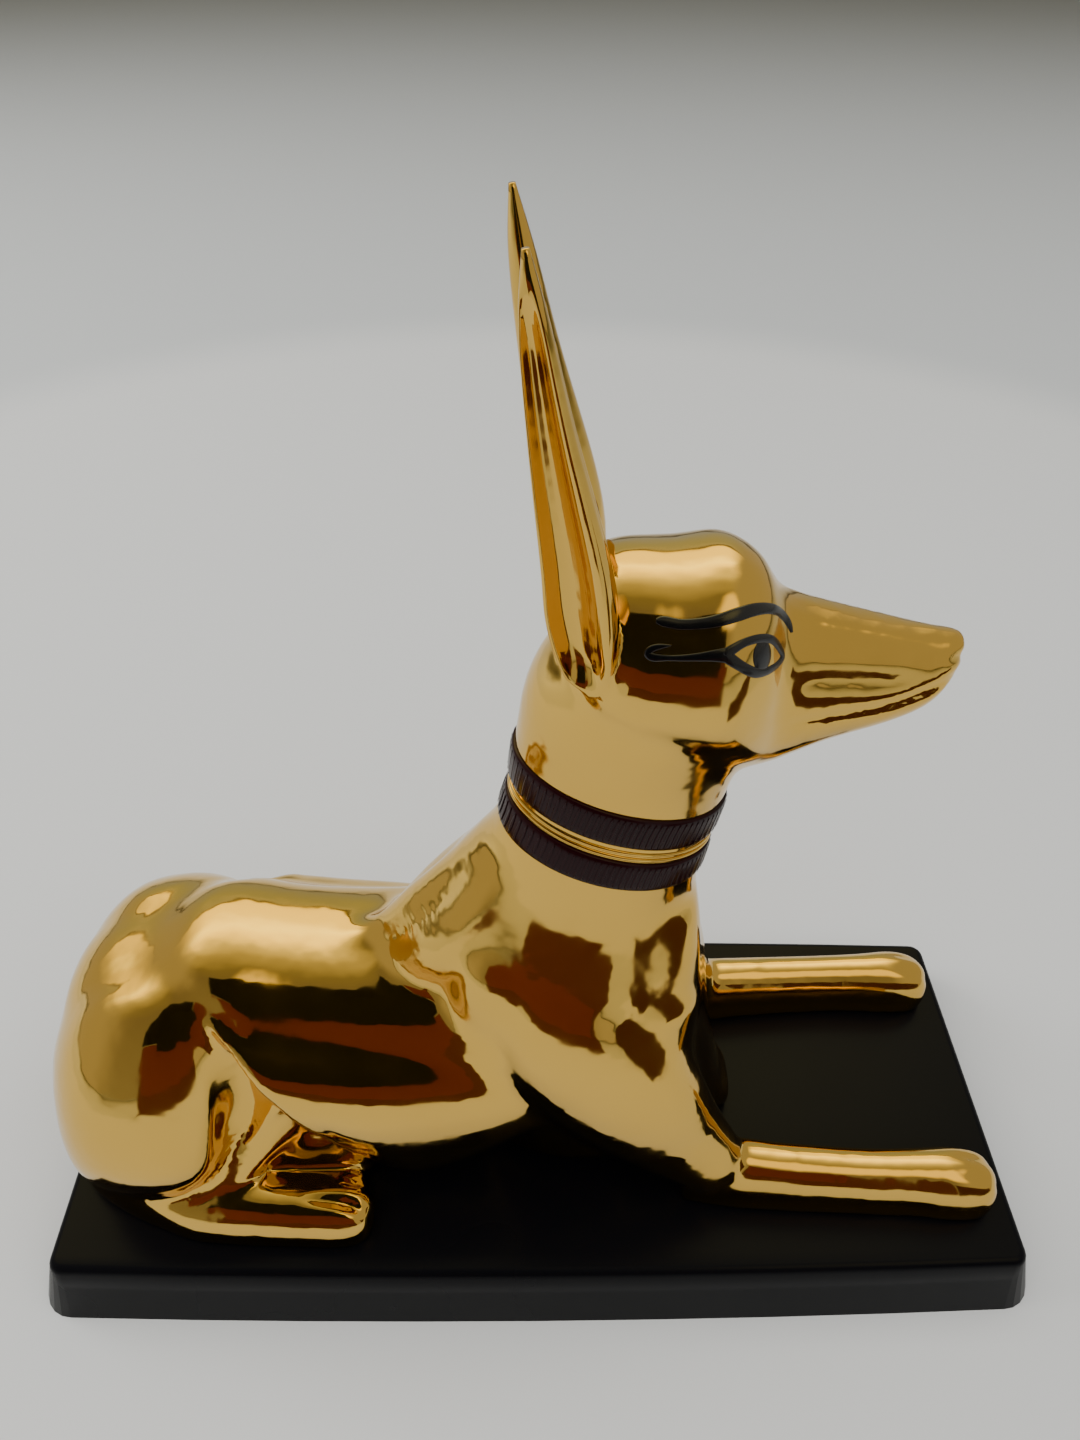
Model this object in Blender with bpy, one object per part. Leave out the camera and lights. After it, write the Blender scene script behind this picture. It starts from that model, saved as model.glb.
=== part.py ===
"""Recumbent jackal, a gilt casting, on a black rectangular plinth.

Origin: middle of the plinth's underside.  +X runs towards the nose, +Z is up.
"""
import math

import bmesh
import bpy
from mathutils import Matrix, Vector

MM = 0.001

# Plinth, in mm
PLINTH_LENGTH = 147.0
PLINTH_WIDTH = 59.5
PLINTH_HEIGHT = 10.0
PLINTH_BATTER = 2.8
PLINTH_BOW = 1.1
PLINTH_CORNER_RADIUS = 2.0
PLINTH_EDGE_RADIUS = 1.3
SIDE_STEPS = 8
ROUND_STEPS = 5
SEAT_GAP = 0.3

# Casting, in mm
SKIN_VOXEL = 1.1
SOFT_PASSES = 22
CRISP_PASSES = 4
BODY_TRIANGLES = 7150
LIMB_SIDES = 40
LIMB_STEPS = 6
TRIM_SIDES = 22
TRIM_STEPS = 2
TRUNK_SQUARENESS = 2.4
HEAD_SQUARENESS = 2.1
FLANK_SQUARENESS = 2.3
RUMP_SQUARENESS = 1.75
BREAST_SQUARENESS = 4.5
PAW_SQUARENESS = 2.15
EAR_HOLLOW = 0.35
EAR_TURN = 0.35
EAR_SWAY = 0.6
EAR_FOOT = 103.5
EAR_TIP = 149.4
COLLAR_LOW = 73.0
COLLAR_HIGH = 84.6
COLLAR_RAISE = 0.2

# Each limb is a row of sections from one end to the other, in mm:
# x, y and z of its middle, half width, half height above, half height below.
TRUNK = [
    (-73, 0, 27, 4, 5, 6),
    (-70.5, 0, 29, 10, 13, 20),
    (-65, 0, 31, 14, 16.3, 24),
    (-57, 0, 33, 16.5, 16.8, 23),
    (-50, 0, 34, 17, 19.6, 25),
    (-44, 0, 34, 17, 20, 25),
    (-36, 0, 33.5, 16.5, 18.8, 24),
    (-24, 0, 34, 16.5, 17.4, 24),
    (-12, 0, 35, 17, 17.1, 25),
    (0, 0, 37, 17, 19.5, 27),
    (12, 0, 36, 15.5, 20, 27),
    (20, 0, 33, 12, 17.5, 24),
    (25, 0, 25, 8, 10, 16),
    (28.5, 0, 16.5, 6, 4.6, 8),
    (31.5, 0, 12.5, 4, 2.5, 4),
]
NECK = [
    (9, 0, 14, 16, 21, 21),
    (6, 0, 33, 17.5, 20, 20),
    (4, 0, 51, 17.2, 19.5, 19.5),
    (5.6, 0, 65, 11.8, 15.6, 15.6),
    (8.1, 0, 76, 10.2, 13.9, 13.9),
    (9.6, 0, 86, 10, 14.1, 14.1),
    (11.2, 0, 96, 11.4, 13.9, 13.9),
    (13, 0, 104, 12, 11, 11),
]
WITHERS = [
    (-26, 0, 44, 5, 8, 8),
    (-18, 0, 47, 8, 9.5, 9.5),
    (-11, 0, 54, 10, 10, 10),
    (-4.4, 0, 64, 9, 8.6, 8.6),
    (1.8, 0, 76, 6.5, 6.2, 6.2),
]
BREAST = [
    (4.5, 0, 30, 15, 18.2, 18.2),
    (4.5, 0, 50, 15.8, 18.2, 18.2),
    (5.4, 0, 56, 13.4, 17, 17),
    (6.4, 0, 62, 10.8, 15.6, 15.6),
    (7.2, 0, 66, 9, 14.3, 14.3),
]
HEAD = [
    (1, 0, 105.5, 3.5, 3, 3),
    (3, 0, 104.3, 8.2, 8.5, 6.7),
    (7, 0, 102.6, 11.6, 12.6, 7.5),
    (14, 0, 102.2, 13, 13.2, 8.8),
    (19, 0, 101.2, 13, 15, 10.4),
    (23, 0, 99.3, 10.6, 15, 11.8),
    (26.5, 0, 97.8, 7.6, 12.1, 11.3),
    (33, 0, 97.6, 5.8, 10.2, 7.9),
    (40, 0, 98, 4.8, 8.1, 5.5),
    (44.4, 0, 99.4, 4, 5.9, 4.4),
    (46.5, 0, 101.4, 3, 3.6, 3.3),
    (47.8, 0, 103.1, 1.6, 1.6, 1.6),
]
TAIL = [
    (-66.5, 0, 42.5, 1.4, 1.6, 1.6),
    (-69.5, 0, 38, 2.5, 2.5, 2.5),
    (-72, 0, 31, 2.7, 2.5, 2.5),
    (-72.9, 0, 22, 2.5, 2.3, 2.3),
    (-72.6, 0, 14, 2.3, 2.1, 2.1),
    (-72.4, 0, 9, 2.2, 2, 2),
]
THIGH = [
    (-50, 8, 48.5, 2, 2, 1.5),
    (-46, 9.8, 46.6, 5, 3, 1.8),
    (-42, 10.8, 42.8, 7, 4, 3),
    (-38, 11.8, 39.6, 7.8, 5.6, 5),
    (-34, 12.6, 36.6, 8.2, 7.6, 7.5),
    (-29, 13.1, 34.2, 8.2, 9.4, 11.5),
    (-24, 13.4, 33, 8.1, 10, 16),
    (-18, 13.4, 32.4, 7.7, 10.1, 19),
    (-12, 13.2, 32, 7.2, 10, 16),
    (-6, 12.6, 31.5, 6.6, 8.5, 12),
    (-1, 12, 31, 5.4, 6.3, 8),
    (2.2, 11.5, 30, 3, 3, 3),
]
RUMP = [
    (-73.4, 6.5, 24, 3, 9, 10),
    (-71.4, 7.5, 24.5, 9.3, 13.5, 15.5),
    (-68, 8.5, 25.5, 13.2, 17.8, 17.5),
    (-63, 9.1, 27, 15, 20.5, 18.5),
    (-57, 9.1, 28, 15.4, 21.6, 19),
    (-51.5, 8.6, 28.7, 15.1, 21.5, 18),
    (-47.2, 8, 30, 12.6, 18.8, 14),
    (-44, 7, 33, 6, 12, 8),
]
GROIN = [
    (-54, 10, 18, 4, 6, 10),
    (-48, 11, 19, 6, 10, 12),
    (-40, 11.5, 19, 6, 10, 12),
    (-33, 12, 18.5, 5.4, 9, 12),
    (-27, 12.4, 17.5, 4.4, 7.5, 10),
    (-23, 12.6, 16, 2.8, 4.5, 7),
]
CALF = [
    (-60, 19, 12, 4, 4, 4),
    (-54, 19.6, 15.5, 4, 4.2, 5),
    (-47.5, 18.2, 21.5, 3.6, 4, 6),
    (-41, 15.4, 28.5, 3.2, 4, 7),
    (-36, 12.8, 34, 3, 4, 6),
]
HIND_FOOT = [
    (-70.5, 9, 13, 4, 6, 7),
    (-67.5, 12.6, 13, 5.7, 9, 7),
    (-62, 16, 13, 6, 11, 7),
    (-56, 18.6, 12.5, 5.9, 8.5, 7),
    (-51, 20.6, 12.5, 5.6, 6, 7),
    (-44, 21.4, 12.5, 5.4, 5.8, 7),
    (-36, 21.8, 12.5, 5.3, 5.4, 7),
    (-30, 21.8, 12.3, 5.4, 5.4, 7),
    (-27, 21.6, 12, 4.6, 4.4, 6),
    (-25.7, 21.5, 11.8, 3, 2.6, 4),
]
UPPER_ARM = [
    (-6, 9.5, 55.5, 3, 4, 4),
    (-2, 11, 52.8, 5.5, 7, 8),
    (3, 12.8, 47, 7, 9.5, 12),
    (8, 14, 38.5, 7.4, 12, 12),
    (14, 14.6, 30.5, 7.3, 11, 11),
    (20, 15.5, 23, 6, 8.5, 8.5),
    (27, 17, 16, 4.6, 5.5, 5.5),
]
FORELEG = [
    (22, 16.5, 13, 3.8, 6, 6),
    (30, 17.1, 12.6, 4.5, 7.5, 6),
    (38, 17.8, 12.5, 4.4, 7.1, 6),
    (50, 18.5, 12.5, 4.3, 6.6, 6),
    (58, 18.7, 12.5, 4.5, 6.7, 6),
    (64, 18.9, 12.4, 5, 6.8, 6),
    (68, 19, 12.2, 4.6, 5.6, 6),
    (70, 19, 12, 3.2, 3.6, 4),
]
EAR = [
    (5, 9, EAR_FOOT, 1.5, 1.5, 1.5),
    (3.9, 9.3, 107, 2.5, 3.0, 3.0),
    (2.8, 9.5, 113, 2.8, 3.8, 3.8),
    (1.7, 9.6, 120, 2.6, 3.5, 3.5),
    (-1.0, 9.8, 133, 1.9, 2.3, 2.3),
    (-2.8, 10, 143, 1.3, 1.4, 1.4),
    (-3.7, 10, EAR_TIP, 0.4, 0.35, 0.35),
]


def spline(stations, steps):
    """Catmull-Rom curve through rows of numbers, with steps samples for each span."""
    rows = [Vector(row) for row in stations]
    rows = [2 * rows[0] - rows[1]] + rows + [2 * rows[-1] - rows[-2]]
    samples = []
    for before, start, end, after in zip(rows, rows[1:], rows[2:], rows[3:]):
        slope_in = (end - before) / 2
        slope_out = (after - start) / 2
        rise = end - start
        bend = 3 * rise - 2 * slope_in - slope_out
        twist = slope_in + slope_out - 2 * rise
        for step in range(steps):
            t = step / steps
            samples.append(start + slope_in * t + bend * t ** 2 + twist * t ** 3)
    samples.append(rows[-2])
    return samples


def rounded(value, squareness):
    """Sine or cosine drawn out towards a square: 2 is an ellipse, more is boxier."""
    return math.copysign(abs(value) ** (2 / squareness), value)


def add_limb(
    skin, stations, side=1, squareness=2.0, upright=False,
    hollow=0.0, turn=0.0, sides=LIMB_SIDES, steps=LIMB_STEPS,
):
    """Closed form swept along its sections; side is 1 for the left and -1 for the right.

    Upright sections stand square to x, others square to the limb's own line.  A hollow is
    how deep the outer side is dished, as a share of the half width, and turn swings it
    towards the front.
    """
    samples = spline(stations, steps)
    centres = [Vector((row[0], row[1] * side, row[2])) for row in samples]
    rings = []
    for index, row in enumerate(samples):
        ahead = centres[min(index + 1, len(centres) - 1)]
        behind = centres[max(index - 1, 0)]
        tangent = Vector((1, 0, 0)) if upright else (ahead - behind).normalized()
        across = Vector((0, side, 0))
        across = (across - across.dot(tangent) * tangent).normalized()
        above = tangent.cross(Vector((0, 1, 0))).normalized()
        swing = Matrix.Rotation(turn * side, 3, tangent)
        ring = []
        for corner in range(sides):
            angle = 2 * math.pi * corner / sides
            wide = row[3] * rounded(math.cos(angle), squareness)
            if hollow and wide > 0:
                wide *= -hollow
            tall = row[4] if math.sin(angle) > 0 else row[5]
            tall *= rounded(math.sin(angle), squareness)
            offset = swing @ (across * wide + above * tall)
            ring.append(skin.verts.new((centres[index] + offset) * MM))
        rings.append(ring)
    for ring, following in zip(rings, rings[1:]):
        for corner in range(sides):
            after = (corner + 1) % sides
            skin.faces.new((ring[corner], ring[after], following[after], following[corner]))
    skin.faces.new(list(reversed(rings[0])))
    skin.faces.new(rings[-1])


def new_object(name, mesh_data):
    """Object from a bmesh, with its faces turned outwards."""
    bmesh.ops.recalc_face_normals(mesh_data, faces=mesh_data.faces)
    mesh = bpy.data.meshes.new(name)
    mesh_data.to_mesh(mesh)
    mesh_data.free()
    thing = bpy.data.objects.new(name, mesh)
    bpy.context.scene.collection.objects.link(thing)
    return thing


def new_cutter(name, mesh_data):
    """Helper solid that only shapes another object."""
    cutter = new_object(name, mesh_data)
    cutter.hide_render = True
    cutter.display_type = "WIRE"
    return cutter


def settle_modifiers(thing):
    """Make the modified shape the object's own mesh."""
    depsgraph = bpy.context.evaluated_depsgraph_get()
    shaped = bpy.data.meshes.new_from_object(thing.evaluated_get(depsgraph))
    thing.modifiers.clear()
    thing.data = shaped


def give_material(thing, name, colour, metallic, roughness):
    material = bpy.data.materials.new(name)
    material.use_nodes = True
    shader = material.node_tree.nodes["Principled BSDF"]
    shader.inputs["Base Color"].default_value = (*colour, 1)
    shader.inputs["Metallic"].default_value = metallic
    shader.inputs["Roughness"].default_value = roughness
    thing.data.materials.clear()
    thing.data.materials.append(material)


def between(value, low, high):
    """0 up to low, 1 from high on, with a soft step from one to the other."""
    t = min(max((value - low) / (high - low), 0), 1)
    return t * t * (3 - 2 * t)


def softness(point):
    """How much the model is worked smooth here: body and neck, not head, paws and feet."""
    body = 1 - between(point.z, 86, 98)
    paws = between(point.x, 22, 30) * (1 - between(point.z, 22, 34))
    feet = between(abs(point.y), 17, 20) * (1 - between(point.z, 17, 22))
    return max(body - paws - feet, 0)


def fair_skin(jackal):
    """Melt the limbs into one skin and work its joins smooth."""
    merge = jackal.modifiers.new("one skin", "REMESH")
    merge.mode = "VOXEL"
    merge.voxel_size = SKIN_VOXEL * MM
    settle_modifiers(jackal)
    group = jackal.vertex_groups.new(name="soft")
    for vertex in jackal.data.vertices:
        group.add([vertex.index], softness(vertex.co / MM), "REPLACE")
    soft = jackal.modifiers.new("soft joins", "SMOOTH")
    soft.vertex_group = group.name
    soft.iterations = SOFT_PASSES
    crisp = jackal.modifiers.new("crisp joins", "SMOOTH")
    crisp.iterations = CRISP_PASSES
    settle_modifiers(jackal)


def seat_flat(jackal):
    """Cut the casting level, just clear of the plinth's top face."""
    cut = bmesh.new()
    cut.from_mesh(jackal.data)
    level = (0, 0, (PLINTH_HEIGHT + SEAT_GAP) * MM)
    everything = cut.verts[:] + cut.edges[:] + cut.faces[:]
    bmesh.ops.bisect_plane(
        cut, geom=everything, plane_co=level, plane_no=(0, 0, 1), clear_inner=True
    )
    bmesh.ops.holes_fill(cut, edges=[edge for edge in cut.edges if edge.is_boundary])
    bmesh.ops.triangulate(cut, faces=cut.faces)
    cut.to_mesh(jackal.data)
    cut.free()


def thin_out(jackal):
    """Fewer facets, kept where the form bends."""
    thin = jackal.modifiers.new("facets", "DECIMATE")
    thin.ratio = BODY_TRIANGLES / len(jackal.data.polygons)
    settle_modifiers(jackal)


def swayed_ear(side):
    """The right ear leans a little forward of the left one towards the tips."""
    height = EAR_TIP - EAR_FOOT
    return [
        (x - side * EAR_SWAY * (z - EAR_FOOT) / height, y, z, *sizes)
        for x, y, z, *sizes in EAR
    ]


def build_trim():
    """Ears and the raised collar, one solid each, ready to join to the body."""
    trim = bmesh.new()
    for side in (-1, 1):
        add_limb(
            trim, swayed_ear(side), side,
            hollow=EAR_HOLLOW, turn=EAR_TURN, sides=TRIM_SIDES, steps=TRIM_STEPS,
        )
    collar = [
        (*row[:3], *(size + COLLAR_RAISE for size in row[3:]))
        for row in spline(NECK, LIMB_STEPS) if COLLAR_LOW <= row[2] <= COLLAR_HIGH
    ]
    add_limb(trim, collar, sides=LIMB_SIDES, steps=1)
    return new_cutter("ears and collar", trim)


def build_jackal():
    skin = bmesh.new()
    add_limb(skin, TRUNK, squareness=TRUNK_SQUARENESS, upright=True)
    add_limb(skin, HEAD, squareness=HEAD_SQUARENESS, upright=True)
    add_limb(skin, BREAST, squareness=BREAST_SQUARENESS)
    for limb in (NECK, WITHERS, TAIL):
        add_limb(skin, limb)
    for side in (-1, 1):
        for limb in (UPPER_ARM, GROIN, CALF):
            add_limb(skin, limb, side)
        add_limb(skin, THIGH, side, squareness=FLANK_SQUARENESS, upright=True)
        add_limb(skin, RUMP, side, squareness=RUMP_SQUARENESS, upright=True)
        for limb in (FORELEG, HIND_FOOT):
            add_limb(skin, limb, side, squareness=PAW_SQUARENESS)
    jackal = new_object("jackal", skin)
    fair_skin(jackal)
    seat_flat(jackal)
    thin_out(jackal)
    join = jackal.modifiers.new("ears and collar", "BOOLEAN")
    join.operation = "UNION"
    join.object = build_trim()
    give_material(jackal, "gilt casting", (0.72, 0.48, 0.17), 1.0, 0.12)


def plinth_outline(half_length, half_width, radius):
    """Rectangle with rounded corners, its long sides bowed out a little."""
    outline = []
    for turn_count in range(4):
        along_x = turn_count % 2 == 1
        run = half_length if along_x else half_width
        reach = half_width if along_x else half_length
        bow = PLINTH_BOW if along_x else 0.0
        heading = Matrix.Rotation(turn_count * math.pi / 2, 2)
        flat = run - radius
        for step in range(SIDE_STEPS):
            slide = flat * (2 * step / SIDE_STEPS - 1)
            bulge = bow * (1 - (slide / flat) ** 2)
            outline.append(heading @ Vector((reach + bulge, slide)))
        for step in range(ROUND_STEPS):
            angle = step / ROUND_STEPS * math.pi / 2
            corner = Vector((reach - radius + radius * math.cos(angle), flat + radius * math.sin(angle)))
            outline.append(heading @ corner)
    return outline


def build_plinth():
    """Battered slab with rounded corners and a soft top edge."""
    levels = [(0.0, -PLINTH_BATTER)]
    shoulder = PLINTH_HEIGHT - PLINTH_EDGE_RADIUS
    slope = PLINTH_BATTER / PLINTH_HEIGHT
    for step in range(ROUND_STEPS + 1):
        angle = step / ROUND_STEPS * math.pi / 2
        rise = shoulder + PLINTH_EDGE_RADIUS * math.sin(angle)
        inset = PLINTH_EDGE_RADIUS * (1 - math.cos(angle)) - slope * (PLINTH_HEIGHT - shoulder)
        levels.append((rise, inset))
    slab = bmesh.new()
    rings = []
    for height, inset in levels:
        outline = plinth_outline(
            PLINTH_LENGTH / 2 - inset, PLINTH_WIDTH / 2 - inset, PLINTH_CORNER_RADIUS - inset
        )
        rings.append([slab.verts.new(Vector((*point, height)) * MM) for point in outline])
    for ring, following in zip(rings, rings[1:]):
        for index, vertex in enumerate(ring):
            after = (index + 1) % len(ring)
            slab.faces.new((vertex, ring[after], following[after], following[index]))
    slab.faces.new(list(reversed(rings[0])))
    slab.faces.new(rings[-1])
    plinth = new_object("plinth", slab)
    give_material(plinth, "black satin", (0.02, 0.02, 0.022), 0.0, 0.3)


for old in list(bpy.data.objects):
    bpy.data.objects.remove(old, do_unlink=True)
build_jackal()
build_plinth()
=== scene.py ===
"""Recumbent gilt jackal on a black plinth: the finished surfaces around its solids.

Lengths are in millimetres and turned to metres where a mesh or an object is made.
"""
import math

import bmesh
import bpy
from mathutils import Euler, Matrix, Vector
from mathutils.bvhtree import BVHTree
from mathutils.kdtree import KDTree


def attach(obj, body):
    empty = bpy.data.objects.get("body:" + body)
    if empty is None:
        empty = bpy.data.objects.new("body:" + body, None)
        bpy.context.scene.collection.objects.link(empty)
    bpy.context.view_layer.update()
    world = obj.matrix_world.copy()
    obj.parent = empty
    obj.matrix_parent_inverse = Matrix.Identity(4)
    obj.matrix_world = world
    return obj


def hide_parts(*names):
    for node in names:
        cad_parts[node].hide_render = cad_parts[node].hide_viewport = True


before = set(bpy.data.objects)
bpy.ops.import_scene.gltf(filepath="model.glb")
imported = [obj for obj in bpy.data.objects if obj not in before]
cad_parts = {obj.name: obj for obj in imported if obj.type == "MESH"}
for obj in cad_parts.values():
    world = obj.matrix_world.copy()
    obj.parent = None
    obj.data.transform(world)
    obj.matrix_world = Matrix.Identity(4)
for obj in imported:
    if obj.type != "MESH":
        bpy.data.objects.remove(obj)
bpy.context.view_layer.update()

# View
# The figure is seen from its right side and from above, at arm's length of a hand-held
# camera: close enough that the near paw and the ears spread apart.
MM = 0.001
VIEW_POINT = (-3.52, -100.62, 176.23)
VIEW_TILT = (49.916, -0.765, -0.786)
VIEW_LENS = 27.0

camera_data = bpy.data.cameras.new("view")
camera_data.lens = VIEW_LENS
camera_data.sensor_width = 36.0
camera_data.clip_start = 0.001
camera = bpy.data.objects.new("view", camera_data)
camera.location = Vector(VIEW_POINT) * MM
camera.rotation_euler = Euler([math.radians(angle) for angle in VIEW_TILT])
bpy.context.scene.collection.objects.link(camera)
bpy.context.scene.camera = camera

# Table
# A round pale table top, painted matt, whose far edge fades into the grey floor behind it.
TABLE_MIDDLE = (5.0, 69.0)
TABLE_RADIUS = 311.0
TABLE_FADE = 26.0
TABLE_PALE = "#D9D9D5"
FLOOR_GREY = "#C8CAC8"
FLOOR_REACH = 3000.0
GRAIN = 0.6


def linear(colour):
    """Linear red, green, blue and alpha of an sRGB hex colour."""
    channels = [int(colour[start:start + 2], 16) / 255 for start in (1, 3, 5)]
    curve = [c / 12.92 if c <= 0.04045 else ((c + 0.055) / 1.055) ** 2.4 for c in channels]
    return (*curve, 1.0)


def add_node(tree, kind, links=None, **settings):
    """A node of the kind, with inputs or properties set by name and inputs linked."""
    node = tree.nodes.new(kind)
    for name, value in settings.items():
        if hasattr(node, name):
            setattr(node, name, value)
        else:
            node.inputs[name.replace("_", " ")].default_value = value
    for name, source in (links or {}).items():
        tree.links.new(source, node.inputs[name])
    return node


def new_material(name):
    """A material with an empty Principled shader, and that shader."""
    material = bpy.data.materials.new(name)
    material.use_nodes = True
    return material, material.node_tree.nodes["Principled BSDF"]


def new_piece(name, mesh_data, material, smooth=True):
    """An object at the origin from a bmesh in millimetres."""
    bmesh.ops.scale(mesh_data, vec=(MM, MM, MM), verts=mesh_data.verts)
    mesh = bpy.data.meshes.new(name)
    mesh_data.to_mesh(mesh)
    mesh_data.free()
    piece = bpy.data.objects.new(name, mesh)
    bpy.context.scene.collection.objects.link(piece)
    piece.data.materials.append(material)
    mesh.shade_smooth() if smooth else mesh.shade_flat()
    return piece


table_paint, shader = new_material("matt table paint")
tree = table_paint.node_tree
place = add_node(tree, "ShaderNodeTexCoord").outputs["Object"]
centred = add_node(
    tree, "ShaderNodeMapping", {"Vector": place},
    Location=(-TABLE_MIDDLE[0] * MM, -TABLE_MIDDLE[1] * MM, 0),
)
distance = add_node(tree, "ShaderNodeVectorMath", {0: centred.outputs[0]}, operation="LENGTH")
fade = add_node(
    tree, "ShaderNodeMapRange", {"Value": distance.outputs["Value"]},
    interpolation_type="SMOOTHSTEP",
    From_Min=(TABLE_RADIUS - TABLE_FADE) * MM, From_Max=(TABLE_RADIUS + TABLE_FADE) * MM,
)
paint = add_node(tree, "ShaderNodeMix", {0: fade.outputs[0]}, data_type="RGBA")
paint.inputs[6].default_value = linear(TABLE_PALE)
paint.inputs[7].default_value = linear(FLOOR_GREY)
grain = add_node(tree, "ShaderNodeTexNoise", {"Vector": place}, Scale=1 / (GRAIN * MM), Detail=2.0)
relief = add_node(tree, "ShaderNodeBump", {"Height": grain.outputs["Fac"]}, Strength=0.05, Distance=0.0001)
tree.links.new(paint.outputs[2], shader.inputs["Base Color"])
tree.links.new(relief.outputs[0], shader.inputs["Normal"])
shader.inputs["Roughness"].default_value = 0.75
shader.inputs["Specular IOR Level"].default_value = 0.05

ground = bmesh.new()
bmesh.ops.create_grid(ground, x_segments=1, y_segments=1, size=FLOOR_REACH)
floor = new_piece("floor", ground, table_paint, smooth=False)

# Light
# A plain pale room.  The gilding mirrors a lit strip of ceiling behind the figure, a soft
# window at the front right, and plain dark and warm cards around the camera.  Lamps that
# the gloss does not show light the paint and the lacquer.
ROOM_STRENGTH = 4.0
# Pairs: degrees over the room from the far wall to the near one, colour
ROOM_ARC = [
    (0, "#5A5F62"), (24, "#66695C"), (29, "#747466"), (30, "#2E2A1E"), (31.4, "#2E2A1E"),
    (33, "#D8C677"), (46, "#DCCB7C"),
    (54, "#FFF4A8"), (62, "#EBDA90"), (72, "#A09A74"), (82, "#777258"), (98, "#4E4B3C"),
    (112, "#47443F"), (180, "#504E48"),
]
STRIP_SHIFT = 0.13
STRIP_FADE = (0.38, 0.75)
SIDE_GREY = "#65625A"
WINDOWS = [((0.36, -0.38, 0.85), 0.93, 0.985, "#B4A468")]
CAMERA_UP = (0.0, 0.644, 0.765)
BACKDROP = [
    ("dark card", "#0B0908", (-70, 60), (-75, 20), 0),
    ("warm card", "#7A3524", (-110, 95), (-170, -60), 12),
]
SCREENS = [
    ("dark screen", "#0B0908", (-150, 60), (-215, -110), (190, 330)),
    ("warm screen", "#5A2A1C", (-130, 120), (-235, -235), (2, 200)),
    ("side screen", "#4A2016", (86, 330), (-100, -100), (8, 60)),
]
LAMPS = [
    ("ceiling lamp", (0, -200, 900), (2400, 1800), 24.0),
    ("side lamp", (-900, 250, 500), (700, 500), 5.0),
]

world = bpy.data.worlds.new("room")
bpy.context.scene.world = world
world.use_nodes = True
world.cycles_visibility.diffuse = False
tree = world.node_tree
sky = tree.nodes["Background"]
sky.inputs["Strength"].default_value = ROOM_STRENGTH
heading = add_node(tree, "ShaderNodeTexCoord").outputs["Generated"]
parts = add_node(tree, "ShaderNodeSeparateXYZ", {0: heading}).outputs
over = add_node(tree, "ShaderNodeMath", {0: parts["Z"], 1: parts["Y"]}, operation="ARCTAN2")
arc = add_node(tree, "ShaderNodeMapRange", {"Value": over.outputs[0]}, From_Min=0.0, From_Max=math.pi)
strip = add_node(tree, "ShaderNodeValToRGB", {"Fac": arc.outputs[0]})
for number, (degrees, colour) in enumerate(ROOM_ARC):
    stop = strip.color_ramp.elements[number] if number < 2 else strip.color_ramp.elements.new(1.0)
    stop.position = degrees / 180
    stop.color = linear(colour)
leftwards = add_node(tree, "ShaderNodeMath", {0: parts["X"]}, operation="ADD")
leftwards.inputs[1].default_value = STRIP_SHIFT
aside = add_node(tree, "ShaderNodeMath", {0: leftwards.outputs[0]}, operation="ABSOLUTE")
edge = add_node(
    tree, "ShaderNodeMapRange", {"Value": aside.outputs[0]},
    interpolation_type="SMOOTHSTEP", From_Min=STRIP_FADE[0], From_Max=STRIP_FADE[1],
)
room = add_node(tree, "ShaderNodeMix", {0: edge.outputs[0], 6: strip.outputs["Color"]}, data_type="RGBA")
room.inputs[7].default_value = linear(SIDE_GREY)
for towards, start, full, colour in WINDOWS:
    facing = add_node(tree, "ShaderNodeVectorMath", {0: heading}, operation="DOT_PRODUCT")
    facing.inputs[1].default_value = Vector(towards).normalized()
    glow = add_node(
        tree, "ShaderNodeMapRange", {"Value": facing.outputs["Value"]},
        interpolation_type="SMOOTHSTEP", From_Min=start, From_Max=full,
    )
    before = room.outputs[2]
    room = add_node(tree, "ShaderNodeMix", {0: glow.outputs[0], 6: before}, data_type="RGBA")
    room.inputs[7].default_value = linear(colour)
tree.links.new(room.outputs[2], sky.inputs["Color"])

for name, spot, size, power in LAMPS:
    lamp_data = bpy.data.lights.new(name, "AREA")
    lamp_data.shape = "RECTANGLE"
    lamp_data.size = size[0] * MM
    lamp_data.size_y = size[1] * MM
    lamp_data.energy = power
    lamp = bpy.data.objects.new(name, lamp_data)
    lamp.location = Vector(spot) * MM
    if name == "side lamp":
        lamp.rotation_euler = (-lamp.location).to_track_quat("-Z", "Y").to_euler()
    lamp.visible_glossy = False
    bpy.context.scene.collection.objects.link(lamp)

sheets = []
for name, colour, across, back, up in SCREENS:
    corners = [(across[i], back[k], up[k]) for i, k in ((0, 0), (1, 0), (1, 1), (0, 1))]
    sheets.append((name, colour, corners))
for name, colour, across, reach, behind in BACKDROP:
    lift = Vector(CAMERA_UP)
    away = Vector((0, -CAMERA_UP[2], CAMERA_UP[1])) * behind
    corners = [
        Vector(VIEW_POINT) + Vector((across[i], 0, 0)) + lift * reach[k] + away
        for i, k in ((0, 0), (1, 0), (1, 1), (0, 1))
    ]
    sheets.append((name, colour, corners))
for name, colour, corners in sheets:
    board = bmesh.new()
    board.faces.new([board.verts.new(corner) for corner in corners])
    card_paint, shader = new_material(name)
    shader.inputs["Base Color"].default_value = linear(colour)
    shader.inputs["Roughness"].default_value = 0.9
    card = new_piece(name.replace(" ", "_"), board, card_paint, smooth=False)
    card.visible_camera = False
    card.visible_diffuse = False
    card.visible_shadow = False

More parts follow.
